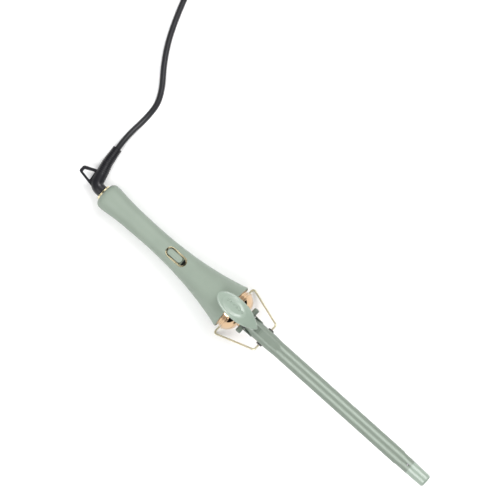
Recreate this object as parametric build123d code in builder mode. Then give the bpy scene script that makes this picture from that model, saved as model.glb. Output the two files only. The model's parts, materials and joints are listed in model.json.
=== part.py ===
from build123d import *
import os
from math import asin, atan2, cos, degrees, hypot, pi, radians, sin, tan

# A slim curling iron: a 12.7 mm barrel, a hinged clamp with a thumb pad, a wire rest and a swivelling cord.
# The iron is drawn along X, with its axis on the X axis: x = 0 is the mouth of the handle's bell, +X runs to
# the tip, and +Z is the side with the thumb pad. The finished pieces are then laid down as the iron rests, on
# the rim of the bell and the shoulder at the rear of the handle, with the surface at z = 0.

# ---------------------------------------------------------------- driving dimensions (mm)
barrel_radius = 6.35
barrel_wall = 0.6
barrel_start = -10.0
barrel_end = 204.7
tip_end = 223.2

rim_radius = 21.7  # outside of the bell at its mouth
rim_round = 0.75
rear_radius = 12.1  # the shoulder behind the waist
rear_round = 5.0
rear_x = -148.2
handle_stations = [  # radius along the waist, from the rear to the bell
    (-130.7, 11.0),
    (-113.5, 10.0),
    (-96.3, 9.6),
    (-79.0, 9.8),
    (-61.9, 10.75),
    (-44.7, 12.5),
    (-27.5, 15.2),
    (-12.0, 18.55),
]
shell_wall = 1.8
shell_screws = [(-28.0, -9.0), (-121.0, -5.0)]  # place along the handle, height of the head's seat
screw_core = 1.05
screw_head = 2.1

slot_x = -63.6  # middle of the switch frame
slot_length = 19.4
slot_width = 7.0
frame_band = 1.3
knob_length = 15.5
knob_width = 6.0
switch_travel = 3.2

hinge_x = 18.4
hinge_z = 9.0
pin_radius = 1.25
running_fit = 0.05
knuckle_radius = 2.5
knuckle_end = 12.9
clamp_sheet = 0.45
channel_radius = 6.95
neck_radius = 7.4
neck_flare = 7.95  # at the end next to the hinge
neck_start = 21.5
neck_waist = 28.0
neck_end = 46.0
channel_start = 53.0
clamp_end = 197.5
clamp_edge = 10.0  # degrees above the side at which the sheet stops

saddle_radius = 6.8
saddle_screw_x = 29.0
tip_rivet_x = 201.6

rest_pivot_x = 38.7
rest_pivot_z = -1.8
wire_radius = 0.85
bar_x = 1.6  # crossbar of the folded wire rest
bar_z = -20.8
bar_half = 26.0

board_start = -104.0
board_end = -44.0
board_top = -0.6
board_thick = 1.6
board_width = 12.0

cord_radius = 2.65
coil_radius = 30.0  # at the middle of the coil's turns
cord_length = 1600.0

os.makedirs("parts", exist_ok=True)


# ---------------------------------------------------------------- shared outlines
def handle_outline(grow=0.0):
    """The handle's outside, from the rear face to the bell's rim."""
    reach = rear_round + grow
    center = (rear_x + rear_round, rear_radius - rear_round)
    top = (center[0], center[1] + reach)
    middle = (center[0] - reach * cos(pi / 4), center[1] + reach * sin(pi / 4))
    ThreePointArc((center[0] - reach, center[1]), middle, top)
    waist = [(x, r + grow) for x, r in handle_stations]
    Spline(top, *waist, (-rim_round, rim_radius + grow), tangents=((1, 0), (1, 0.32)))


def handle_solid(grow):
    """The handle as one solid, to trim the pieces that follow its skin."""
    with BuildPart() as solid:
        with BuildSketch(Plane.XY):
            with BuildLine():
                handle_outline(grow)
                Polyline(
                    (-rim_round, rim_radius + grow),
                    (-rim_round, 0),
                    (rear_x - grow, 0),
                    (rear_x - grow, rear_radius - rear_round),
                )
            make_face()
        revolve(axis=Axis.X)
    return solid.part


def shell_section():
    """The wall of the handle: its outside, the rolled rim and the inside."""
    lip = rim_radius - 2 * rim_round
    handle_outline()
    ThreePointArc((-rim_round, rim_radius), (0, rim_radius - rim_round), (-rim_round, lip))
    inside = [(x, r - shell_wall) for x, r in reversed(handle_stations)]
    Spline((-rim_round, lip), *inside, (-140.0, 10.1))
    Polyline(
        (-140.0, 10.1),
        (-144.6, 8.9),
        (-145.2, 6.9),
        (rear_x, 6.9),
        (rear_x, rear_radius - rear_round),
    )


# ---------------------------------------------------------------- handle
skin = handle_solid(0.0)
proud_skin = handle_solid(0.4)
knob_skin = handle_solid(0.3)
pillar_radius = 2.6
slot_hole = 0.6  # the shell's hole is this much wider than the slot, for the frame's neck

with BuildPart() as handle_upper_shell:
    with BuildSketch(Plane.XY):
        with BuildLine():
            shell_section()
        make_face()
    revolve(axis=Axis.X, revolution_arc=180)
    with BuildSketch(Plane.XY.offset(5)):
        with Locations((slot_x, 0)):
            SlotOverall(slot_length + 2 * slot_hole, slot_width + 2 * slot_hole)
    extrude(amount=8, mode=Mode.SUBTRACT)
    with BuildSketch(Plane.XY.offset(0.05)):
        with Locations([(x, 0) for x, seat in shell_screws]):
            Circle(pillar_radius)
    extrude(until=Until.NEXT)
    with BuildSketch(Plane.XY):
        with Locations([(x, 0) for x, seat in shell_screws]):
            Circle(screw_core)
    extrude(amount=7, mode=Mode.SUBTRACT)

with BuildPart() as handle_lower_shell:
    with BuildSketch(Plane.XY):
        with BuildLine():
            shell_section()
        make_face()
    revolve(axis=Axis.X, revolution_arc=-180)
    with BuildSketch(Plane.XY.offset(-0.05)):
        with Locations([(x, 0) for x, seat in shell_screws]):
            Circle(pillar_radius + 0.6)
    extrude(until=Until.NEXT, dir=(0, 0, -1))
    for x, seat in shell_screws:
        with BuildSketch(Plane.XY):
            with Locations((x, 0)):
                Circle(screw_core + 0.2)
        extrude(amount=seat - 0.1, mode=Mode.SUBTRACT)
        with BuildSketch(Plane.XY.offset(seat)):
            with Locations((x, 0)):
                Circle(screw_head + 0.2)
        extrude(amount=-12, mode=Mode.SUBTRACT)
    # ledges under the circuit board
    with BuildSketch(Plane.XY.offset(board_top - board_thick)):
        with Locations((board_start + 8, 0), (board_end - 8, 0)):
            Rectangle(1.4, 9)
    extrude(until=Until.NEXT, dir=(0, 0, -1))

with BuildPart() as handle_screws:
    for x, seat in shell_screws:
        with BuildSketch(Plane.XY.offset(seat)):
            with Locations((x, 0)):
                Circle(screw_head)
        extrude(amount=-1.8)
        with BuildSketch(Plane.XY.offset(seat)):
            with Locations((x, 0)):
                Circle(screw_core)
        extrude(amount=-seat + 6)
        with BuildSketch(Plane.XY.offset(seat - 1.8)):
            with Locations((x, 0)):
                Rectangle(2.6, 0.6)
                Rectangle(0.6, 2.6)
        extrude(amount=0.9, mode=Mode.SUBTRACT)

with BuildPart() as rear_trim_ring:
    with BuildSketch(Plane.XY):
        Polygon((rear_x, 5.6), (rear_x, 7.2), (rear_x - 1.75, 7.2), (rear_x - 1.75, 5.6), align=None)
    revolve(axis=Axis.X)
    fillet(rear_trim_ring.edges().group_by(Axis.X)[0], 0.5)

# ---------------------------------------------------------------- collar and barrel seat
collar_back = -3.0

with BuildPart() as front_collar:
    with BuildSketch(Plane.XY):
        with BuildLine():
            Polyline(
                (collar_back, 16.8),
                (collar_back, 19.0),
                (-0.2, 19.6),
                (-0.2, 18.2),
                (1.8, 18.2),
                (1.8, 19.2),
                (3.1, 19.2),
                (3.1, 18.2),
                (4.4, 18.2),
                (4.4, 19.0),
            )
            ThreePointArc((4.4, 19.0), (5.3, 19.9), (6.2, 19.0))
            ThreePointArc((6.2, 19.0), (10.9, 15.9), (14.1, 9.4))
            Polyline((14.1, 9.4), (14.1, 8.4), (15.6, 8.4), (15.6, 7.0), (13.8, 7.0))
            ThreePointArc((13.8, 7.0), (9.9, 13.7), (5.2, 16.8))
            Line((5.2, 16.8), (collar_back, 16.8))
        make_face()
    revolve(axis=Axis.X)
    step_edges = front_collar.edges().filter_by(GeomType.CIRCLE).filter_by_position(Axis.X, 1.7, 3.2)
    fillet([edge for edge in step_edges if edge.radius > 19], 0.4)

with BuildPart() as barrel_insulator:
    with BuildSketch(Plane.XY):
        Polygon(
            (-14, barrel_radius + 0.03),
            (-14, 15.9),
            (-12, 15.9),
            (-12, 8.6),
            (8, 8.6),
            (8, 6.95),
            (15.6, 6.95),
            (15.6, barrel_radius + 0.03),
            align=None,
        )
    revolve(axis=Axis.X)

with BuildPart() as barrel_tube:
    with BuildSketch(Plane.XY):
        Polygon(
            (barrel_start, barrel_radius - barrel_wall),
            (barrel_start, barrel_radius),
            (barrel_end, barrel_radius),
            (barrel_end, barrel_radius - barrel_wall),
            align=None,
        )
    revolve(axis=Axis.X)
    # holes for the saddle screw below and the tip rivet above
    with BuildSketch(Plane.XY):
        with Locations((saddle_screw_x, 0)):
            Circle(1.1)
    extrude(amount=-8, mode=Mode.SUBTRACT)
    with BuildSketch(Plane.XY):
        with Locations((tip_rivet_x, 0)):
            Circle(0.85)
    extrude(amount=8, mode=Mode.SUBTRACT)

with BuildPart() as cool_tip:
    with BuildSketch(Plane.XY):
        Polygon(
            (192.0, 4.4),
            (192.0, barrel_radius - barrel_wall - 0.03),
            (barrel_end, barrel_radius - barrel_wall - 0.03),
            (barrel_end, 6.3),
            (tip_end, 5.9),
            (tip_end, 0),
            (tip_end - 2.2, 0),
            (tip_end - 2.2, 4.4),
            align=None,
        )
    revolve(axis=Axis.X)
    fillet(cool_tip.edges().group_by(Axis.X)[-1], 2.0)
    with BuildSketch(Plane.XY):
        with Locations((tip_rivet_x, 0)):
            Circle(0.85)
    extrude(amount=8, mode=Mode.SUBTRACT)

with BuildPart() as tip_rivet:
    with BuildSketch(Plane.XY.offset(4.5)):
        with Locations((tip_rivet_x, 0)):
            Circle(0.83)
    extrude(amount=1.9)
    with Locations((tip_rivet_x, 0, 5.35)):
        Sphere(1.4)
    split(bisect_by=Plane.XY.offset(4.5))
    with BuildSketch(Plane.XY.offset(4.4)):
        with Locations((tip_rivet_x, 0)):
            Circle(3)
            Circle(0.83, mode=Mode.SUBTRACT)
    extrude(amount=barrel_radius - 4.4 - 0.02, mode=Mode.SUBTRACT)

# ---------------------------------------------------------------- heater, inside the barrel
heater_start = 46.0
heater_end = 156.0
stone_half = 1.1
foil = 0.3
film = 0.4

with BuildPart() as heater_shoes:
    with BuildSketch(Plane.YZ.offset(heater_start)):
        Circle(barrel_radius - barrel_wall - 0.03)
        Rectangle(12, 2 * (stone_half + foil + film) + 0.04, mode=Mode.SUBTRACT)
    extrude(amount=heater_end - heater_start)

with BuildPart() as heating_stones:
    for x in (heater_start + 18, (heater_start + heater_end) / 2, heater_end - 18):
        with BuildSketch(Plane.YZ.offset(x - 14)):
            Rectangle(7.0, 2 * stone_half)
        extrude(amount=28)

with BuildPart() as electrode_strips:
    for side in (1, -1):
        with BuildSketch(Plane.YZ.offset(heater_start + 2)):
            with Locations((0, side * (stone_half + foil / 2))):
                Rectangle(6.6, foil)
        extrude(amount=heater_end - heater_start - 4)

with BuildPart() as insulating_film:
    with BuildSketch(Plane.YZ.offset(heater_start)):
        Rectangle(7.3 + 2 * film, 2 * (stone_half + foil + film))
        Rectangle(7.3, 2 * (stone_half + foil), mode=Mode.SUBTRACT)
    extrude(amount=heater_end - heater_start)

with BuildPart() as heater_leads:
    for side in (1, -1):
        with BuildSketch(Plane.YZ.offset(board_end)):
            with Locations((side * 4.6, board_top - board_thick / 2)):
                Circle(0.65)
        extrude(amount=heater_start - board_end)

with BuildPart() as thermostat:
    with BuildSketch(Plane.YZ.offset(33)):
        Rectangle(4.2, 4.0)
    extrude(amount=9)
    fillet(thermostat.edges().filter_by(Axis.X), 0.6)

with BuildPart() as thermal_fuse:
    with BuildSketch(Plane.YZ.offset(12)):
        with Locations((0, 2.4)):
            Circle(1.2)
    extrude(amount=10)
    with BuildSketch(Plane.YZ.offset(8)):
        with Locations((0, 2.4)):
            Circle(0.35)
    extrude(amount=20)

# ---------------------------------------------------------------- switch and electronics
slot_mouth = 7.0  # underside of the switch frame's neck

with BuildPart() as switch_frame:
    with BuildSketch(Plane.XY.offset(slot_mouth)):
        with Locations((slot_x, 0)):
            SlotOverall(slot_length + 2 * frame_band, slot_width + 2 * frame_band)
    extrude(amount=6)
    add(proud_skin, mode=Mode.INTERSECT)
    add(skin, mode=Mode.SUBTRACT)
    with BuildSketch(Plane.XY.offset(slot_mouth)):
        with Locations((slot_x, 0)):
            SlotOverall(slot_length + 2 * slot_hole - 0.06, slot_width + 2 * slot_hole - 0.06)
    extrude(amount=3.2)
    with BuildSketch(Plane.XY.offset(slot_mouth - 1)):
        with Locations((slot_x, 0)):
            SlotOverall(slot_length, slot_width)
    extrude(amount=8, mode=Mode.SUBTRACT)

knob_x = slot_x - (slot_length - knob_length) / 2 + 0.35

with BuildPart() as switch_slider:
    with BuildSketch(Plane.XY.offset(6.0)):
        with Locations((knob_x, 0)):
            SlotOverall(knob_length, knob_width)
    extrude(amount=6)
    add(knob_skin, mode=Mode.INTERSECT)
    fillet(switch_slider.edges().group_by(Axis.Z)[-1], 0.4)
    # three raised dots
    with Locations([(knob_x + n * 4.4, 0, 9.05 + 0.09 * (n + 1)) for n in (-1, 0, 1)]):
        Sphere(1.15)
    # guide plate under the frame, and the peg that works the switch
    with BuildSketch(Plane.XY.offset(6.0)):
        with Locations((knob_x, 0)):
            Rectangle(knob_length + 1.0, 8.6)
    extrude(amount=0.85)
    with BuildSketch(Plane.XY.offset(3.0)):
        with Locations((knob_x, 0)):
            Rectangle(3.0, 2.0)
    extrude(amount=3.0)

with BuildPart() as slide_switch:
    with BuildSketch(Plane.XY.offset(board_top)):
        with Locations((slot_x, 0)):
            Rectangle(17, 7)
    extrude(amount=5.0)
    with BuildSketch(Plane.XY.offset(2.6)):
        with Locations((knob_x + switch_travel / 2, 0)):
            Rectangle(3.6 + switch_travel, 2.6)
    extrude(amount=5.0, mode=Mode.SUBTRACT)

with BuildPart() as circuit_board:
    with BuildSketch(Plane.XY.offset(board_top - board_thick)):
        with Locations(((board_start + board_end) / 2, 0)):
            Rectangle(board_end - board_start, board_width)
    extrude(amount=board_thick)

with BuildPart() as board_components:
    with BuildSketch(Plane.XY.offset(board_top)):
        with Locations((-92, 0)):
            Rectangle(10, 8)
        with Locations((-79, 2.5), (-79, -2.5)):
            Rectangle(4, 2.4)
        with Locations((-49, 0)):
            Rectangle(4.6, 7)
    extrude(amount=3.6)

with BuildPart() as supply_leads:
    for side in (1, -1):
        with BuildSketch(Plane.YZ.offset(-129.5)):
            with Locations((side * 4.2, board_top - board_thick / 2)):
                Circle(0.75)
        extrude(amount=board_start + 129.5)

# ---------------------------------------------------------------- cord swivel, in the rear of the handle
with BuildPart() as swivel_housing:
    with BuildSketch(Plane.XY):
        Polygon(
            (rear_x + 0.1, 3.0 + running_fit),
            (rear_x + 0.1, 6.85),
            (-143.0, 6.85),
            (-143.0, 8.0),
            (-141.0, 8.0),
            (-141.0, 6.85),
            (-131.5, 6.85),
            (-131.5, 5.6),
            (-144.0, 5.6),
            (-144.0, 3.0 + running_fit),
            align=None,
        )
    revolve(axis=Axis.X)

with BuildPart() as swivel_cap:
    with BuildSketch(Plane.XY):
        Polygon((-131.5, 0), (-131.5, 6.85), (-129.5, 6.85), (-129.5, 0), align=None)
    revolve(axis=Axis.X)

with BuildPart() as swivel_spindle:
    with BuildSketch(Plane.XY):
        Polygon(
            (-156.0, 0),
            (-156.0, 3.0),
            (-143.8, 3.0),
            (-143.8, 4.6),
            (-142.4, 4.6),
            (-142.4, 3.0),
            (-133.0, 3.0),
            (-133.0, 0),
            align=None,
        )
    revolve(axis=Axis.X)

slip_rings_at = [(-140.8, -139.2), (-137.0, -135.4)]

with BuildPart() as slip_rings:
    for start, end in slip_rings_at:
        with BuildSketch(Plane.XY):
            Polygon((start, 3.0), (start, 4.1), (end, 4.1), (end, 3.0), align=None)
        revolve(axis=Axis.X)

with BuildPart() as contact_blades:
    for (start, end), side in zip(slip_rings_at, (1, -1), strict=True):
        with BuildSketch(Plane.YZ.offset((start + end) / 2 - 0.6)):
            with Locations((side * 4.83, 0)):
                Rectangle(1.4, 0.8)
        extrude(amount=1.2)

# ---------------------------------------------------------------- hinge saddle and pin
saddle_start = 15.9
ear_inside = 6.4
ear_outside = 7.2
clamp_ear = 7.3

with BuildPart() as hinge_saddle:
    with BuildSketch(Plane.YZ.offset(saddle_start)):
        Circle(saddle_radius)
        Circle(barrel_radius + 0.03, mode=Mode.SUBTRACT)
        with Locations((0, 10)):
            Rectangle(20, 14.6, mode=Mode.SUBTRACT)
    extrude(amount=neck_end - saddle_start)
    # ears that hold the hinge pin
    with BuildSketch(Plane.XZ.offset(ear_inside)):
        with Locations((hinge_x, hinge_z)):
            Circle(knuckle_radius)
        with Locations((hinge_x, hinge_z / 2)):
            Rectangle(2 * knuckle_radius, hinge_z)
    extrude(amount=ear_outside - ear_inside)
    mirror(about=Plane.XZ)
    with BuildSketch(Plane.XZ.offset(-12)):
        with Locations((hinge_x, hinge_z)):
            Circle(pin_radius + 0.01)
    extrude(amount=24, mode=Mode.SUBTRACT)
    # seats of the wire rest's bushes
    with BuildSketch(Plane.XZ.offset(-12)):
        with Locations((rest_pivot_x, rest_pivot_z)):
            Circle(1.7)
    extrude(amount=24, mode=Mode.SUBTRACT)
    with BuildSketch(Plane.XY):
        with Locations((saddle_screw_x, 0)):
            Circle(1.1)
    extrude(amount=-9, mode=Mode.SUBTRACT)

with BuildPart() as saddle_screw:
    with BuildSketch(Plane.XY.offset(-saddle_radius - 0.05)):
        with Locations((saddle_screw_x, 0)):
            Circle(2.0)
    extrude(amount=-1.2)
    fillet(saddle_screw.edges().group_by(Axis.Z)[0], 0.6)
    with BuildSketch(Plane.XY.offset(-saddle_radius - 0.05)):
        with Locations((saddle_screw_x, 0)):
            Circle(1.05)
    extrude(amount=2.1)

with BuildPart() as hinge_pin:
    with BuildSketch(Plane.XZ.offset(-11.6)):
        with Locations((hinge_x, hinge_z)):
            Circle(pin_radius)
    extrude(amount=23.2)

spring_radius = 1.9
spring_wire = 0.35
spring_half = 5.0

with BuildPart() as clamp_spring:
    with BuildLine():
        coil = Helix(
            pitch=1.0,
            height=2 * spring_half,
            radius=spring_radius,
            center=(hinge_x, -spring_half, hinge_z),
            direction=(0, 1, 0),
        )
    with BuildSketch(Plane(coil @ 0, z_dir=coil % 0)):
        Circle(spring_wire)
    sweep(path=coil, is_frenet=True)

# ---------------------------------------------------------------- clamp
pad_rear = -14.2
pad_front = 30.5
pad_top = [(-15.2, 29.1), (4.0, 28.4), (16.0, 24.6), (25.0, 18.0), (31.5, 11.6)]
pad_thick = 2.2
strip_start = 5.0
strip_half = 2.7
strip_thick = 1.0
panel_half = 2.85
panel_start = 28.0
panel_end = 52.5
pad_screw_places = [(8.0, 23.8, 26.1), (13.5, 21.65, 24.9)]  # along the pad, the head's seat, the shank's end


def pad_profile(upper, lower):
    """The thumb pad seen from the side, from this far below its top to that far."""
    top = Spline(*[(x, z - upper) for x, z in pad_top])
    under = Spline(*[(x, z - lower) for x, z in pad_top])
    Line(top @ 0, under @ 0)
    Line(top @ 1, under @ 1)


with BuildPart() as clamp:
    with BuildSketch(Plane.XY.rotated((clamp_edge, 0, 0))):
        with BuildLine():
            Polyline(
                (neck_start, neck_flare - clamp_sheet),
                (neck_start, neck_flare),
                (neck_waist, neck_radius),
                (neck_end, neck_radius),
                (channel_start, channel_radius),
                (clamp_end, channel_radius),
                (clamp_end, channel_radius - clamp_sheet),
                (channel_start, channel_radius - clamp_sheet),
                (neck_end, neck_radius - clamp_sheet),
                (neck_waist, neck_radius - clamp_sheet),
                close=True,
            )
        make_face()
    revolve(axis=Axis.X, revolution_arc=180 - 2 * clamp_edge)
    # rounded end over the barrel
    with BuildSketch(Plane.XY):
        with Locations(((clamp_end - channel_radius) / 2, 0)):
            Rectangle(clamp_end - channel_radius, 20)
        with Locations((clamp_end - channel_radius, 0)):
            Circle(channel_radius)
    extrude(amount=12, mode=Mode.INTERSECT)
    # side plates and knuckles at the hinge
    with BuildSketch(Plane.XZ.offset(clamp_ear)):
        with Locations((hinge_x, hinge_z)):
            Circle(knuckle_radius)
        with BuildLine():
            Polyline(
                (18.4, 11.5),
                (20.6, 10.2),
                (22.2, 7.4),
                (25.5, 4.6),
                (29.5, 1.6),
                (21.6, 1.6),
                (18.4, 6.5),
                close=True,
            )
        make_face()
    extrude(amount=0.7)
    with BuildSketch(Plane.XZ.offset(clamp_ear)):
        with Locations((hinge_x, hinge_z)):
            Circle(knuckle_radius)
    extrude(amount=knuckle_end - clamp_ear)
    fillet(clamp.edges().group_by(Axis.Y)[0], 1.0)
    mirror(about=Plane.XZ)
    with BuildSketch(Plane.XZ.offset(-11.8)):
        with Locations((hinge_x, hinge_z)):
            Circle(pin_radius + running_fit)
    extrude(amount=23.6, mode=Mode.SUBTRACT)
    # bent strip that carries the thumb pad
    with BuildSketch(Plane.XZ.offset(-strip_half)):
        with BuildLine():
            pad_profile(pad_thick + 0.02, pad_thick + 0.02 + strip_thick)
        make_face()
        with Locations(((strip_start + 36) / 2, 15)):
            Rectangle(36 - strip_start, 30, mode=Mode.INTERSECT)
        Polygon((28.5, 7.0), (30.3, 9.7), (31.45, 9.45), (32.4, 8.3), (34.5, 7.55), (34.5, 7.0), align=None)
    extrude(amount=2 * strip_half)
    # flat-topped panel along the neck, rounded at its front end
    with BuildSketch(Plane.XY.offset(3)):
        with Locations(((panel_start + panel_end) / 2, 0)):
            Rectangle(panel_end - panel_start, 2 * panel_half)
        with Locations((panel_end, 0)):
            Circle(panel_half)
    panel_plan = extrude(amount=6, mode=Mode.PRIVATE)
    with BuildSketch(Plane.XZ.offset(-4)):
        Polygon((27, 3), (27, 7.6), (neck_end, 7.6), (channel_start, 7.15), (58, 7.15), (58, 3), align=None)
    panel_side = extrude(amount=8, mode=Mode.PRIVATE)
    with BuildSketch(Plane.XY):
        Polygon(
            (26, 0),
            (26, neck_radius - 0.2),
            (neck_end, neck_radius - 0.2),
            (channel_start, channel_radius - 0.2),
            (60, channel_radius - 0.2),
            (60, 0),
            align=None,
        )
    under_panel = revolve(axis=Axis.X, mode=Mode.PRIVATE)
    add((panel_plan & panel_side) - under_panel)
    # clearance holes for the pad screws
    with BuildSketch(Plane.XY.offset(15)):
        with Locations([(x, 0) for x, _, _ in pad_screw_places]):
            Circle(1.0)
    extrude(amount=14, mode=Mode.SUBTRACT)

# ---------------------------------------------------------------- thumb pad
dish_half = 11.0
dish_x = 4.0
dish_ends = (29.45, 25.3)  # heights of the dish's rim, rear and front
dish_bottom = 27.25
dish_radius = 27.5
dish_tilt = atan2(dish_ends[1] - dish_ends[0], 2 * dish_half)
dish_center = (dish_x - dish_radius * sin(dish_tilt), dish_bottom + dish_radius * cos(dish_tilt))
dot_pitch = 3.8
dot_height = 0.35

with BuildPart() as thumb_pad:
    with BuildSketch(Plane.XY.offset(5)):
        with BuildLine():
            side = Spline(
                (pad_rear, 0),
                (-6.5, 7.6),
                (4.0, 9.0),
                (18.5, 7.2),
                (27.0, 2.9),
                (pad_front, 0),
                tangents=((0, 1), (0, -1)),
                tangent_scalars=(1.0, 0.35),
            )
            mirror(side, about=Plane.XZ)
        make_face()
    extrude(amount=30)
    with BuildSketch(Plane.XZ.offset(-12)):
        with BuildLine():
            pad_profile(0, pad_thick)
        make_face()
    extrude(amount=24, mode=Mode.INTERSECT)
    # shallow dish for the thumb
    with BuildSketch(Plane.XZ):
        with BuildLine():
            rim_rear = (dish_x - dish_half, dish_ends[0])
            rim_front = (dish_x + dish_half, dish_ends[1])
            ThreePointArc(rim_rear, (dish_x, dish_bottom), rim_front)
            along = dish_half / cos(dish_tilt)
            Polyline(
                rim_rear,
                (dish_center[0] - along * cos(dish_tilt), dish_center[1] - along * sin(dish_tilt)),
                (dish_center[0] + along * cos(dish_tilt), dish_center[1] + along * sin(dish_tilt)),
                rim_front,
            )
        make_face()
    revolve(
        axis=Axis((dish_center[0], 0, dish_center[1]), (cos(dish_tilt), 0, sin(dish_tilt))),
        mode=Mode.SUBTRACT,
    )
    # rows of grip dots
    for row, offset in ((-3.3, 0.5), (0.0, 0.0), (3.3, 0.5)):
        for n in range(6 if row == 0 else 5):
            x = (n - 2.5 + offset) * dot_pitch
            bow = (dish_ends[0] + dish_ends[1]) / 2 - dish_bottom
            height = dish_bottom + x * tan(dish_tilt) + bow * (x / dish_half) ** 2 + row**2 / (2 * dish_radius)
            with BuildSketch(Plane.XY.offset(height - 0.5)):
                with Locations((dish_x + x, row)):
                    Circle(0.95)
            extrude(amount=0.5 + dot_height)
    for x, _, end in pad_screw_places:
        with BuildSketch(Plane.XY.offset(15)):
            with Locations((x, 0)):
                Circle(0.8)
        extrude(amount=end + 0.1 - 15, mode=Mode.SUBTRACT)

with BuildPart() as pad_screws:
    for x, seat, end in pad_screw_places:
        with BuildSketch(Plane.XY.offset(seat)):
            with Locations((x, 0)):
                Circle(1.8)
        extrude(amount=-1.0)
        with BuildSketch(Plane.XY.offset(seat)):
            with Locations((x, 0)):
                Circle(0.78)
        extrude(amount=end - seat)

# ---------------------------------------------------------------- wire rest
arm_length = hypot(rest_pivot_x - bar_x, rest_pivot_z - bar_z)
arm_slope = atan2(rest_pivot_z - bar_z, rest_pivot_x - bar_x)
rest_plane = Plane(
    origin=(rest_pivot_x, 0, rest_pivot_z),
    x_dir=(-cos(arm_slope), 0, -sin(arm_slope)),
    z_dir=(sin(arm_slope), 0, -cos(arm_slope)),
)

with BuildPart() as wire_rest:
    with BuildLine(rest_plane):
        wire = FilletPolyline(
            (0, -6.7),
            (0, -14.2),
            (arm_length, -bar_half),
            (arm_length, bar_half),
            (0, 14.2),
            (0, 6.7),
            radius=2.2,
        )
    with BuildSketch(Plane(wire @ 0, z_dir=wire % 0)):
        Circle(wire_radius)
    sweep(path=wire)

with BuildPart() as rest_bushes:
    with BuildSketch(Plane.XZ.offset(6.45)):
        with Locations((rest_pivot_x, rest_pivot_z)):
            Circle(1.68)
    extrude(amount=0.6)
    with BuildSketch(Plane.XZ.offset(7.0)):
        with Locations((rest_pivot_x, rest_pivot_z)):
            Circle(2.8)
    extrude(amount=1.6)
    fillet(rest_bushes.edges().group_by(Axis.Y)[0], 0.3)
    mirror(about=Plane.XZ)
    with BuildSketch(Plane.XZ.offset(-12)):
        with Locations((rest_pivot_x, rest_pivot_z)):
            Circle(wire_radius + running_fit)
    extrude(amount=24, mode=Mode.SUBTRACT)

# ---------------------------------------------------------------- cord boot with its hanging loop
boot_bend = (-158.6, 0.0)
boot_knee = (-164.4, 22.0)
boot_end = (-166.1, 36.4)
boot_root_radius = 5.4
boot_end_radius = 4.0
boot_ribs = 15
elbow_share = 0.42  # how far along the boot's straight part the smooth elbow reaches
elbow_end = (
    boot_bend[0] + elbow_share * (boot_knee[0] - boot_bend[0]),
    boot_bend[1] + elbow_share * (boot_knee[1] - boot_bend[1]),
)

with BuildPart() as cord_boot:
    # smooth elbow
    with BuildLine():
        root_path = FilletPolyline((rear_x - 0.2, 0), boot_bend, elbow_end, radius=6.0)
    with BuildSketch(Plane(root_path @ 0, z_dir=root_path % 0)):
        Circle(boot_root_radius)
    sweep(path=root_path)
    # tapered sleeve with fine rings round it and a collar at the cord's end
    with BuildLine():
        sleeve_path = FilletPolyline(elbow_end, boot_knee, boot_end, radius=30.0)
    for share, radius in ((0, boot_root_radius), (1, boot_end_radius)):
        with BuildSketch(Plane(sleeve_path @ share, z_dir=sleeve_path % share)):
            Circle(radius)
    sweep(path=sleeve_path, multisection=True)
    for n in range(boot_ribs):
        share = 0.06 + 0.88 * n / (boot_ribs - 1)
        radius = boot_root_radius + (boot_end_radius - boot_root_radius) * share
        with Locations(Location(Plane(sleeve_path @ share, z_dir=sleeve_path % share))):
            Torus(radius - 0.25, 0.5)
    with BuildSketch(Plane(sleeve_path @ 1, z_dir=sleeve_path % 1)):
        Circle(boot_end_radius + 0.25)
    extrude(amount=-1.0)
    # flat three-cornered loop to hang the iron by
    with BuildSketch(Plane.XY.offset(-1.3)):
        with BuildLine():
            FilletPolyline(
                (-178.0, 6.3),
                (-178.2, 0.1),
                (-152.5, -4.4),
                (-153.0, 2.0),
                (-160.0, 14.2),
                radius=2.2,
                close=True,
            )
        make_face()
        with BuildLine():
            FilletPolyline((-175.3, 1.6), (-175.4, 4.2), (-166.9, 8.6), (-165.7, 0.0), radius=0.8, close=True)
        make_face(mode=Mode.SUBTRACT)
    extrude(amount=2.6)
    with BuildSketch(Plane.YZ.offset(rear_x)):
        Circle(3.0)
    extrude(amount=-8, mode=Mode.SUBTRACT)

# ---------------------------------------------------------------- the iron at rest on a surface
# The rim of the bell and the rear shoulder touch the surface: both are round, so the tilt follows from the
# line that touches both circles.
rim_center = (-rim_round, -(rim_radius - rim_round))
shoulder_center = (rear_x + rear_round, -(rear_radius - rear_round))
run = rim_center[0] - shoulder_center[0]
fall = shoulder_center[1] - rim_center[1]
tilt = atan2(fall, run) - asin((rear_round - rim_round) / hypot(run, fall))
tilt_degrees = degrees(tilt)
iron_pieces = {
    "handle_upper_shell": handle_upper_shell,
    "handle_lower_shell": handle_lower_shell,
    "handle_screws": handle_screws,
    "rear_trim_ring": rear_trim_ring,
    "front_collar": front_collar,
    "barrel_insulator": barrel_insulator,
    "barrel_tube": barrel_tube,
    "cool_tip": cool_tip,
    "tip_rivet": tip_rivet,
    "heater_shoes": heater_shoes,
    "heating_stones": heating_stones,
    "electrode_strips": electrode_strips,
    "insulating_film": insulating_film,
    "heater_leads": heater_leads,
    "thermostat": thermostat,
    "thermal_fuse": thermal_fuse,
    "switch_frame": switch_frame,
    "switch_slider": switch_slider,
    "slide_switch": slide_switch,
    "circuit_board": circuit_board,
    "board_components": board_components,
    "supply_leads": supply_leads,
    "swivel_housing": swivel_housing,
    "swivel_cap": swivel_cap,
    "swivel_spindle": swivel_spindle,
    "slip_rings": slip_rings,
    "contact_blades": contact_blades,
    "hinge_saddle": hinge_saddle,
    "saddle_screw": saddle_screw,
    "hinge_pin": hinge_pin,
    "clamp_spring": clamp_spring,
    "clamp": clamp,
    "thumb_pad": thumb_pad,
    "pad_screws": pad_screws,
    "wire_rest": wire_rest,
    "rest_bushes": rest_bushes,
    "cord_boot": cord_boot,
}
swivelling = ("swivel_spindle", "slip_rings", "cord_boot")
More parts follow.
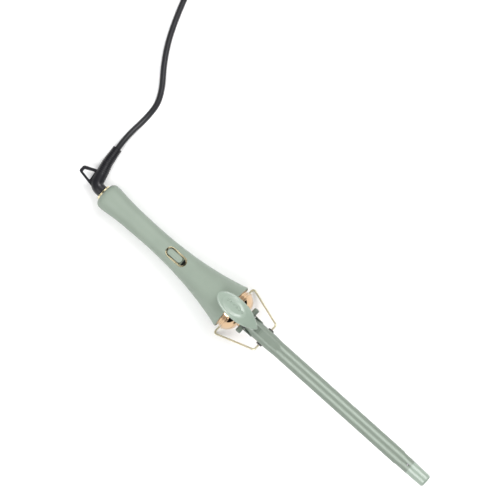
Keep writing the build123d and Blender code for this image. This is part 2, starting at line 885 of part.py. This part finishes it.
lean = Location((0, 0, 0), (0, -tilt_degrees, 0))
boxes = [(lean * piece.part).bounding_box() for name, piece in iron_pieces.items() if name not in swivelling]
shift_x = -(min(box.min.X for box in boxes) + max(box.max.X for box in boxes)) / 2
drop = rim_round - (rim_center[0] * sin(tilt) + rim_center[1] * cos(tilt))
lay_down = Location((shift_x, 0, drop), (0, -tilt_degrees, 0))


def at_rest(x, y, z):
    """A point of the iron, in millimetres, where it lies when the iron is at rest."""
    return (x * cos(tilt) - z * sin(tilt) + shift_x, y, x * sin(tilt) + z * cos(tilt) + drop)


for name, piece in iron_pieces.items():
    piece.part.move(lay_down)
    piece.part.label = name
    export_step(piece.part, f"parts/{name}.step")

# ---------------------------------------------------------------- cord on the surface
# From here on everything is drawn where it lies, with the surface at z = 0.
floor_z = cord_radius
first_run = 13.2
cord_start = at_rest(boot_end[0], boot_end[1], 0)
first_way = (Vector(*boot_end) - Vector(*boot_knee)).normalized()
route = [
    cord_start,
    at_rest(boot_end[0] + first_run * first_way.X, boot_end[1] + first_run * first_way.Y, 0),
    (-202.0, 73.0, floor_z),
    (-204.0, 95.0, floor_z),
    (-227.5, 124.5, floor_z),
    (-242.3, 155.0, floor_z),
    (-257.9, 203.0, floor_z),
    (-272.9, 238.0, floor_z),
]
runs = [Vector(b) - Vector(a) for a, b in zip(route, route[1:])]
route_radii = []
for before, after in zip(runs, runs[1:]):
    half_turn = radians(before.get_angle(after)) / 2
    route_radii.append(0.45 * min(before.length, after.length) / tan(half_turn))

with BuildPart() as cord:
    with BuildLine():
        cord_path = FilletPolyline(*route, radius=route_radii)
    with BuildSketch(Plane(cord_path @ 0, z_dir=cord_path % 0)):
        Circle(cord_radius)
    sweep(path=cord_path)

# the rest of the cord: two layers of four turns, wound clockwise from the outside in and out again
last_run = runs[-1].normalized()
coil_outer = coil_radius + 1.5 * 2 * cord_radius
coil_center = (route[-1][0] + coil_outer * last_run.Y, route[-1][1] - coil_outer * last_run.X)
coil_width = 4 * 2 * cord_radius + 0.4
coil_height = 2 * 2 * cord_radius + 0.2

with BuildPart() as cord_coil:
    with BuildSketch(Plane.XZ.offset(-coil_center[1])):
        with Locations((coil_center[0] + coil_radius, coil_height / 2)):
            RectangleRounded(coil_width, coil_height, 2.4)
    revolve(axis=Axis((*coil_center, 0), (0, 0, 1)))

# ---------------------------------------------------------------- plug beside the coil
plug_angle = 13.0  # degrees between the plug and the iron
plug_thick = 13.7
plug_width = 35.3
plug_shoulder = 13.0
plug_length = 34.0
relief_length = 20.0
relief_radius = 5.6
pin_gap = 19.0
pin_metal_radius = 2.0
pin_metal = 9.0
pin_core = 1.5
sleeve_radius = 2.0
sleeve_length = 10.0
tail_length = 40.0
tail_inside = 11.0
plug_z = plug_thick / 2

tail_start = Vector(
    coil_center[0] - coil_outer * sin(radians(plug_angle)),
    coil_center[1] + coil_outer * cos(radians(plug_angle)),
    plug_z,
)
plug_way = Vector(cos(radians(plug_angle)), sin(radians(plug_angle)), 0)
plug_side = Vector(-sin(radians(plug_angle)), cos(radians(plug_angle)), 0)


def across(distance):
    """A plane across the plug's own line, this far beyond the point where the cord leaves the coil."""
    return Plane(tail_start + plug_way * distance, x_dir=plug_side, z_dir=plug_way)


relief_at = tail_length
body_at = relief_at + relief_length
face_at = body_at + plug_length

with BuildPart() as cord_tail:
    with BuildSketch(across(tail_inside)):
        Circle(cord_radius)
    extrude(amount=relief_at - tail_inside)

with BuildPart() as plug_relief:
    with BuildSketch(across(relief_at)):
        Circle(cord_radius + 0.9)
    with BuildSketch(across(body_at)):
        Circle(relief_radius)
    loft()

with BuildPart() as plug_body:
    with BuildSketch(across(body_at)):
        RectangleRounded(15.0, 12.4, 5.4)
    with BuildSketch(across(body_at + plug_shoulder)):
        RectangleRounded(plug_width, plug_thick, 6.0)
    loft()
    with BuildSketch(across(body_at + plug_shoulder)):
        RectangleRounded(plug_width, plug_thick, 6.0)
    extrude(amount=plug_length - plug_shoulder)
    fillet(plug_body.faces().sort_by(Axis(tail_start, plug_way))[-1].edges(), 1.2)

with BuildPart() as pin_sleeves:
    with BuildSketch(across(face_at)):
        with Locations((-pin_gap / 2, 0), (pin_gap / 2, 0)):
            Circle(sleeve_radius)
            Circle(pin_core, mode=Mode.SUBTRACT)
    extrude(amount=sleeve_length)

with BuildPart() as plug_pins:
    with BuildSketch(across(face_at)):
        with Locations((-pin_gap / 2, 0), (pin_gap / 2, 0)):
            Circle(pin_core)
    extrude(amount=sleeve_length)
    with BuildSketch(across(face_at + sleeve_length)):
        with Locations((-pin_gap / 2, 0), (pin_gap / 2, 0)):
            Circle(pin_metal_radius)
    extrude(amount=pin_metal)
    fillet(plug_pins.edges().group_by(Axis(tail_start, plug_way))[-1], 1.0)

cord_pieces = {
    "cord": cord,
    "cord_coil": cord_coil,
    "cord_tail": cord_tail,
    "plug_relief": plug_relief,
    "plug_body": plug_body,
    "pin_sleeves": pin_sleeves,
    "plug_pins": plug_pins,
}
for name, piece in cord_pieces.items():
    piece.part.label = name
    export_step(piece.part, f"parts/{name}.step")

# ---------------------------------------------------------------- figures for the record
coil_turns = (cord_length - cord_path.length - tail_length) / (2 * pi * coil_radius)
tube_section = pi * cord_radius**2
print("nose-up tilt, degrees:", round(tilt_degrees, 4), "shift", round(shift_x, 4), "drop", round(drop, 4))
print("clamp hinge:", at_rest(hinge_x, 0, hinge_z))
print("stand hinge:", at_rest(rest_pivot_x, 0, rest_pivot_z))
print("cord swivel:", at_rest(rear_x, 0, 0))
print("iron axis:", (cos(tilt), 0, sin(tilt)))
print("cord start:", cord_start)
print("coil centre:", coil_center, "turns", round(coil_turns, 2))
print("cord radii:", [round(r, 1) for r in route_radii])
print("cord volume:", round(cord.part.volume, 1))
print("section times length:", round(tube_section * cord_path.length, 1))
print("plug face centre:", tail_start + plug_way * face_at)
print("hanging loop:", at_rest(-169.6, 4.2, 0))
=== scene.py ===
import json
import math

import bmesh
import bpy
from mathutils import Matrix, Vector


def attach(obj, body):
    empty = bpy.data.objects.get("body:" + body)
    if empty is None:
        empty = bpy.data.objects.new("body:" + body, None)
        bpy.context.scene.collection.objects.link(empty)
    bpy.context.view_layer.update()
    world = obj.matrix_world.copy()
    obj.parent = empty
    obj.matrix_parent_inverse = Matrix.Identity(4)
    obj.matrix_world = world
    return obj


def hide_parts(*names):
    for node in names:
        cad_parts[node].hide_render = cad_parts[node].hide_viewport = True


# A curling iron at rest on a pale surface. Everything is in metres, in the CAD's frame.
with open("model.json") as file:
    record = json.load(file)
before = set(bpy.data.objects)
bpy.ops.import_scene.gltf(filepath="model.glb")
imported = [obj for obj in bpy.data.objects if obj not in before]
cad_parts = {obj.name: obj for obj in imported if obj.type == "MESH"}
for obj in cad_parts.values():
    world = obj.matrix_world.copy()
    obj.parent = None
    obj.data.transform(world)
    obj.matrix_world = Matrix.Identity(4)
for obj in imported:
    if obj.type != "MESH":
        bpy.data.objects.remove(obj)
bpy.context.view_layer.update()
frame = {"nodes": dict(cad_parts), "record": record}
nodes = frame["nodes"]
tilt = math.radians(3.8516)  # the iron lies nose-up by this much
shift_x = -0.0364514
drop = 0.0217031


def at_rest(x, y, z):
    """A point of the iron in its own frame (millimetres, axis on X) where it lies at rest."""
    x, y, z = x / 1000, y / 1000, z / 1000
    return Vector(
        (x * math.cos(tilt) - z * math.sin(tilt) + shift_x, y, x * math.sin(tilt) + z * math.cos(tilt) + drop)
    )


# ---------------------------------------------------------------- camera
def make_camera():
    data = bpy.data.cameras.new("camera")
    data.sensor_width = 36
    data.lens = 167.08
    data.clip_end = 20
    eye = bpy.data.objects.new("camera", data)
    bpy.context.scene.collection.objects.link(eye)
    place = Vector((-0.00784, -0.10566, 2.01377))
    aim = Vector((-0.05781, 0.04738, 0.02026))
    turn = (aim - place).to_track_quat("-Z", "Y").to_matrix().to_4x4()
    roll = Matrix.Rotation(math.radians(24.006), 4, "Z")
    eye.matrix_world = Matrix.Translation(place) @ turn @ roll
    bpy.context.scene.camera = eye


make_camera()

# ---------------------------------------------------------------- cord
cord_diameter = 0.0053
floor_z = cord_diameter / 2
boot_end = at_rest(-166.1, 36.4, 0)
route = [
    boot_end,
    (-0.20372, 0.04951, 0.01044),
    (-0.2022, 0.0730, floor_z),
    (-0.2038, 0.0950, floor_z),
    (-0.2275, 0.1245, floor_z),
    (-0.2423, 0.1550, floor_z),
    (-0.2579, 0.2030, floor_z),
    (-0.2729, 0.2380, floor_z),
]
coil_center = Vector((-0.2380184, 0.2529492, 0))
coil_start = math.atan2(0.2380 - coil_center.y, -0.2729 - coil_center.x)
per_turn = 24
coil_radii = [0.03795, 0.03265, 0.02735, 0.02205]
plug_way = Vector((0.9743701, 0.2249511, 0))
plug_z = 0.00685
last_share = 0.264  # of the last turn, to where the cord leaves for its plug
rise_share = 0.22  # of each turn, in which the cord moves over to the next one


def coil_points():
    """Two layers of turns, clockwise from the outside in, then out again on top."""
    shrink = (1 + math.cos(math.pi / per_turn)) / 2  # the spline runs inside its control points
    upper = [*reversed(coil_radii[1:]), coil_radii[0]]
    turns = [(r, floor_z) for r in coil_radii] + [(r, floor_z + cord_diameter) for r in upper]
    count = round((len(turns) - 1 + last_share) * per_turn)
    made = []
    for n in range(1, count + 1):
        turn, step = divmod(n, per_turn)
        r, z = turns[turn]
        late = (step - (1 - rise_share) * per_turn) / (rise_share * per_turn)
        if late > 0 and turn + 1 < len(turns):
            ease = late * late * (3 - 2 * late)
            r += ease * (turns[turn + 1][0] - r)
            z += ease * (turns[turn + 1][1] - z)
        angle = coil_start - 2 * math.pi * n / per_turn
        made.append(coil_center + Vector((r / shrink * math.cos(angle), r / shrink * math.sin(angle), z)))
    return made


def spline_piece(name, points, radius, resolution=8):
    """A round tube along a smooth line that has these points as its control points."""
    data = bpy.data.curves.new(name, "CURVE")
    data.dimensions = "3D"
    spline = data.splines.new("NURBS")
    spline.points.add(len(points) - 1)
    for point, place in zip(spline.points, points):
        point.co = (*place, 1)
        point.radius = radius  # the curve's box is padded by this, so it is the tube's real radius
    spline.order_u = 3
    spline.use_endpoint_u = True
    spline.resolution_u = resolution
    data.bevel_depth = 1.0  # times each point's own radius
    data.bevel_resolution = 6
    data.use_fill_caps = True
    piece = bpy.data.objects.new(name, data)
    bpy.context.scene.collection.objects.link(piece)
    return piece


turns = coil_points()
leave = coil_center + Vector((-coil_radii[0] * plug_way.y, coil_radii[0] * plug_way.x, 0))
tail_steps = ((0.013, 0.0078), (0.027, plug_z), (0.043, plug_z))  # along the plug's way, and height
tail = [leave + plug_way * along + Vector((0, 0, z)) for along, z in tail_steps]
cord = spline_piece("cord_flex", [*route, *turns, *tail], cord_diameter / 2)
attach(cord, "cord_set")
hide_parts("cord", "cord_coil", "cord_tail")


# ---------------------------------------------------------------- materials
def new_material(name, color, metallic=0.0, roughness=0.5, **sockets):
    """A principled material with its uniform values set on the shader, and the tools to add nodes."""
    material = bpy.data.materials.new(name)
    material.use_nodes = True
    shader = material.node_tree.nodes["Principled BSDF"]
    shader.inputs["Base Color"].default_value = (*color, 1)
    shader.inputs["Metallic"].default_value = metallic
    shader.inputs["Roughness"].default_value = roughness
    for key, value in sockets.items():
        shader.inputs[key.replace("_", " ")].default_value = value
    return material, material.node_tree, shader


def coordinates(tree, scale=(1, 1, 1), rotation=(0, 0, 0)):
    source = tree.nodes.new("ShaderNodeTexCoord")
    mapping = tree.nodes.new("ShaderNodeMapping")
    mapping.inputs["Rotation"].default_value = rotation
    mapping.inputs["Scale"].default_value = scale
    tree.links.new(source.outputs["Object"], mapping.inputs["Vector"])
    return mapping.outputs["Vector"]


def noise(tree, vector, scale, detail=3.0, rough=0.55):
    node = tree.nodes.new("ShaderNodeTexNoise")
    node.inputs["Scale"].default_value = scale
    node.inputs["Detail"].default_value = detail
    node.inputs["Roughness"].default_value = rough
    tree.links.new(vector, node.inputs["Vector"])
    return node.outputs["Fac"]


def ramp(tree, factor, stops):
    node = tree.nodes.new("ShaderNodeValToRGB")
    band = node.color_ramp
    while len(band.elements) < len(stops):
        band.elements.new(0.5)
    for element, (position, color) in zip(band.elements, stops):
        element.position = position
        element.color = (*color, 1)
    tree.links.new(factor, node.inputs["Fac"])
    return node.outputs["Color"]


def spread(tree, factor, low, high):
    node = tree.nodes.new("ShaderNodeMapRange")
    node.inputs["From Min"].default_value = 0.3
    node.inputs["From Max"].default_value = 0.7
    node.inputs["To Min"].default_value = low
    node.inputs["To Max"].default_value = high
    tree.links.new(factor, node.inputs["Value"])
    return node.outputs["Result"]


def add_bump(tree, shader, height, strength, distance):
    node = tree.nodes.new("ShaderNodeBump")
    node.inputs["Strength"].default_value = strength
    node.inputs["Distance"].default_value = distance
    tree.links.new(height, node.inputs["Height"])
    tree.links.new(node.outputs["Normal"], shader.inputs["Normal"])


grain_depth = 0.00002  # metres
looks = {}


def shade(color, factor):
    return tuple(min(1.0, c * factor) for c in color)


def finish_material(name, color, metallic, roughness, vary, grain, bump, stretch=(1, 1, 1), **sockets):
    """Adds a look: colour that varies a little, roughness that varies finely, and a fine relief."""
    material, tree, shader = new_material(name, color, metallic, roughness, **sockets)
    along = coordinates(tree, stretch, (0, tilt, 0))
    cloud = noise(tree, coordinates(tree), 55, 4)
    tint = ramp(tree, cloud, [(0.3, shade(color, 1 - vary)), (0.7, shade(color, 1 + vary))])
    tree.links.new(tint, shader.inputs["Base Color"])
    fine = noise(tree, along, grain, 4)
    tree.links.new(spread(tree, fine, roughness * 0.88, roughness * 1.14), shader.inputs["Roughness"])
    add_bump(tree, shader, fine, bump, grain_depth)
    looks[name] = material


sage = (0.257, 0.308, 0.255)
mint = (0.285, 0.350, 0.292)
finish_material(
    "sage_plastic", sage, 0.0, 0.50, vary=0.03, grain=2600, bump=0.12, Specular_IOR_Level=0.35
)
finish_material(
    "sage_metal", shade(sage, 0.80), 0.18, 0.38,
    vary=0.03, grain=2200, bump=0.08, Specular_IOR_Level=0.45,
)
finish_material(
    "mint_plastic", mint, 0.0, 0.32,
    vary=0.03, grain=2400, bump=0.1, Coat_Weight=0.3, Coat_Roughness=0.13,
)
finish_material(
    "rose_gold", (0.60, 0.42, 0.26), 1.0, 0.07, vary=0.02, grain=900, bump=0.03, stretch=(1, 0.1, 0.1)
)
finish_material("pale_gold", (0.88, 0.78, 0.50), 1.0, 0.25, vary=0.03, grain=1500, bump=0.06)
finish_material("wire_gold", (0.86, 0.80, 0.58), 0.6, 0.28, vary=0.04, grain=1500, bump=0.05)
finish_material("dark_steel", (0.24, 0.24, 0.245), 1.0, 0.42, vary=0.06, grain=1800, bump=0.12)
finish_material(
    "steel", (0.55, 0.55, 0.56), 1.0, 0.3, vary=0.05, grain=1500, bump=0.1, stretch=(0.1, 1, 1)
)
finish_material("black_plastic", (0.02, 0.02, 0.022), 0.0, 0.45, vary=0.1, grain=2500, bump=0.15)
finish_material("aluminium", (0.75, 0.76, 0.78), 1.0, 0.4, vary=0.05, grain=1800, bump=0.15)
finish_material("ceramic", (0.82, 0.80, 0.75), 0.0, 0.6, vary=0.04, grain=2500, bump=0.15)
finish_material("film", (0.65, 0.38, 0.06), 0.0, 0.25, vary=0.05, grain=900, bump=0.1)
finish_material("board", (0.03, 0.20, 0.07), 0.0, 0.4, vary=0.08, grain=1800, bump=0.1)
finish_material("copper", (0.85, 0.45, 0.28), 1.0, 0.3, vary=0.06, grain=1800, bump=0.1)
finish_material("lead_sleeve", (0.82, 0.82, 0.78), 0.0, 0.5, vary=0.04, grain=2500, bump=0.1)
finish_material(
    "boot_rubber", (0.014, 0.014, 0.017), 0.0, 0.34,
    vary=0.12, grain=3000, bump=0.2, Specular_IOR_Level=0.4,
)
finish_material(
    "cord_rubber", (0.022, 0.022, 0.025), 0.0, 0.36,
    vary=0.10, grain=2600, bump=0.2, Specular_IOR_Level=0.45,
)
finish_material("zinc", (0.50, 0.51, 0.53), 1.0, 0.32, vary=0.05, grain=1800, bump=0.12)
for part in frame["record"]["subparts"]:
    node = nodes[part["node"]]
    node.data.materials.clear()
    node.data.materials.append(looks[part["material_slot"]])
cord.data.materials.append(looks["cord_rubber"])


# ---------------------------------------------------------------- thumb pad
# Its figures are in millimetres, in the iron's own frame.
def through(points, x):
    """Height at x of the smooth line through these points (x, height, slope)."""
    for (x0, h0, m0), (x1, h1, m1) in zip(points, points[1:]):
        if x <= x1:
            t, run = (x - x0) / (x1 - x0), x1 - x0
            return (
                (2 * t**3 - 3 * t**2 + 1) * h0
                + (t**3 - 2 * t**2 + t) * run * m0
                + (3 * t**2 - 2 * t**3) * h1
                + (t**3 - t**2) * run * m1
            )
    return points[-1][1]


def smooth(edge0, edge1, value):
    """Rises from 0 to 1 between the two edges, level at both."""
    t = min(1.0, max(0.0, (value - edge0) / (edge1 - edge0)))
    return t * t * (3 - 2 * t)


pad_rear, pad_front, pad_thick = -14.2, 30.5, 2.2
pad_widest, pad_width = 4.0, 18.0
pad_line = [
    (-15.2, 29.1, 0.05),
    (pad_widest, 28.4, -0.19),
    (16.0, 24.6, -0.49),
    (25.0, 18.0, -0.90),
    (31.5, 11.6, -1.05),
]
front_half = [
    (pad_widest, pad_width / 2, 0.0),
    (18.5, 7.2, -0.34),
    (27.0, 2.9, -0.72),
    (pad_front, 0.0, -1.0),
]
lip_height, roll_width, roll_depth = 0.22, 0.6, 0.75
dish_wall = 0.42  # share of the dish in which it goes down
dish_edge = 0.16  # height of the ring round the dish
dish_middle, dish_long, dish_wide, dish_deep = 4.0, 11.4, 6.3, 1.0
dot_gap, dot_row, dot_radius, dot_height, dot_groove = 3.2, 1.5, 0.95, 0.80, 0.08
dot_places = [(dish_middle + (n - 2.5) * dot_gap, dot_row) for n in range(6)]


def pad_half(x):
    """Half the pad's width at x: half an ellipse behind its widest place, and a leaf's point in front."""
    if x < pad_widest:
        return pad_width / 2 * math.sqrt(max(0.0, 1 - ((x - pad_widest) / (pad_rear - pad_widest)) ** 2))
    return max(0.0, through(front_half, x))


def pad_relief(x, y, half):
    """How far the pad's top stands above its plain surface: rolled edge, lip, dish and grip dots."""
    inset = half - abs(y)
    relief = lip_height * smooth(0.2, 0.7, inset) * (1 - smooth(0.9, 1.7, inset))
    relief -= roll_depth * (1 - smooth(0.0, roll_width, inset)) ** 2
    reach = math.hypot((x - dish_middle) / dish_long, y / dish_wide)
    if reach < 1:
        relief -= dish_deep * smooth(0.0, dish_wall, 1 - reach)
    relief += dish_edge * smooth(0.96, 1.03, reach) * (1 - smooth(1.05, 1.16, reach))
    for dot_x, dot_y in dot_places:
        away = math.hypot(x - dot_x, y - dot_y) / dot_radius
        if away < 1:
            relief += dot_height * math.sqrt(1 - away * away)
        relief -= dot_groove * smooth(0.8, 1.05, away) * (1 - smooth(1.15, 1.5, away))
    return relief


def make_thumb_pad(along=300, across=110):
    """The pad as one closed shell: a top with its relief, a plain underside, and the edge between them."""
    body = bmesh.new()
    sheets = []
    for lower in (False, True):
        rows = []
        for i in range(along + 1):
            share = (1 - math.cos(math.pi * i / along)) / 2
            x = pad_rear + 0.05 + (pad_front - pad_rear - 0.1) * share
            half = max(0.12, pad_half(x) - 0.05)
            row = []
            for j in range(across + 1):
                y = half * math.sin(math.pi / 2 * (2 * j / across - 1))
                z = through(pad_line, x) + (-pad_thick if lower else pad_relief(x, y, half))
                row.append(body.verts.new(at_rest(x, y, z)))
            rows.append(row)
        sheets.append(rows)
    top, under = sheets
    for i in range(along):
        for j in range(across):
            body.faces.new((top[i][j], top[i + 1][j], top[i + 1][j + 1], top[i][j + 1]))
            body.faces.new((under[i][j], under[i][j + 1], under[i + 1][j + 1], under[i + 1][j]))
        for j in (0, across):
            body.faces.new((top[i][j], under[i][j], under[i + 1][j], top[i + 1][j]))
    for i in (0, along):
        for j in range(across):
            body.faces.new((top[i][j], top[i][j + 1], under[i][j + 1], under[i][j]))
    bmesh.ops.recalc_face_normals(body, faces=body.faces)
    mesh = bpy.data.meshes.new("thumb_lever")
    body.to_mesh(mesh)
    body.free()
    mesh.polygons.foreach_set("use_smooth", [True] * len(mesh.polygons))
    piece = bpy.data.objects.new("thumb_lever", mesh)
    bpy.context.scene.collection.objects.link(piece)
    piece.data.materials.append(looks["mint_plastic"])
    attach(piece, "clamp")
    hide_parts("thumb_pad")


make_thumb_pad()

# ---------------------------------------------------------------- surface and light
def make_stage():
    bpy.ops.mesh.primitive_plane_add(size=12, location=(0, 0, 0))
    floor = bpy.context.object
    floor.name = "floor"
    material, tree, shader = new_material("floor_white", (0.97, 0.97, 0.97), 0, 0.7)
    cloud = noise(tree, coordinates(tree), 30, 4)
    tree.links.new(ramp(tree, cloud, [(0.3, (0.965,) * 3), (0.7, (0.975,) * 3)]), shader.inputs["Base Color"])
    floor.data.materials.append(material)


def area_light(name, place, aim, size_x, size_y, power, in_reflections=True):
    data = bpy.data.lights.new(name, "AREA")
    data.shape = "RECTANGLE"
    data.size = size_x
    data.size_y = size_y
    data.energy = power
    lamp = bpy.data.objects.new(name, data)
    bpy.context.scene.collection.objects.link(lamp)
    lamp.location = place
    lamp.rotation_euler = (Vector(aim) - Vector(place)).to_track_quat("-Z", "X").to_euler()
    lamp.visible_glossy = in_reflections


def make_world():
    """A dim studio, bright only in a band along each of its two sides and dark overhead, so that polished
    metal shows dark bands."""
    world = bpy.data.worlds.new("studio")
    world.use_nodes = True
    tree = world.node_tree
    back = tree.nodes["Background"]
    source = tree.nodes.new("ShaderNodeTexCoord")
    split = tree.nodes.new("ShaderNodeSeparateXYZ")
    tree.links.new(source.outputs["Generated"], split.inputs["Vector"])
    lengthways = tree.nodes.new("ShaderNodeMath")
    lengthways.operation = "ABSOLUTE"
    tree.links.new(split.outputs["X"], lengthways.inputs[0])
    across = tree.nodes.new("ShaderNodeMath")
    across.operation = "ABSOLUTE"
    tree.links.new(split.outputs["Y"], across.inputs[0])
    dark_ends = [(0.14, (1.0,) * 3), (0.26, (0.22,) * 3), (0.38, (0.01,) * 3)]
    dark_top = [(0.22, (0.02,) * 3), (0.36, (0.9,) * 3), (0.60, (1.0,) * 3)]
    walls = ramp(tree, lengthways.outputs["Value"], dark_ends)
    sides = ramp(tree, across.outputs["Value"], dark_top)
    both = tree.nodes.new("ShaderNodeVectorMath")
    both.operation = "MULTIPLY"
    tree.links.new(walls, both.inputs[0])
    tree.links.new(sides, both.inputs[1])
    tree.links.new(both.outputs["Vector"], back.inputs["Color"])
    back.inputs["Strength"].default_value = 0.8
    bpy.context.scene.world = world


make_stage()
make_world()
area_light("left_box", (0, 1.3, 1.5), (0, 0, 0), 1.3, 0.6, 24)
area_light("right_box", (0, -1.3, 1.5), (0, 0, 0), 1.3, 0.6, 22)
area_light("overhead_fill", (0, 0, 2.7), (0, 0, 0), 4.0, 4.0, 66, in_reflections=False)
bpy.context.scene.view_settings.view_transform = "Standard"
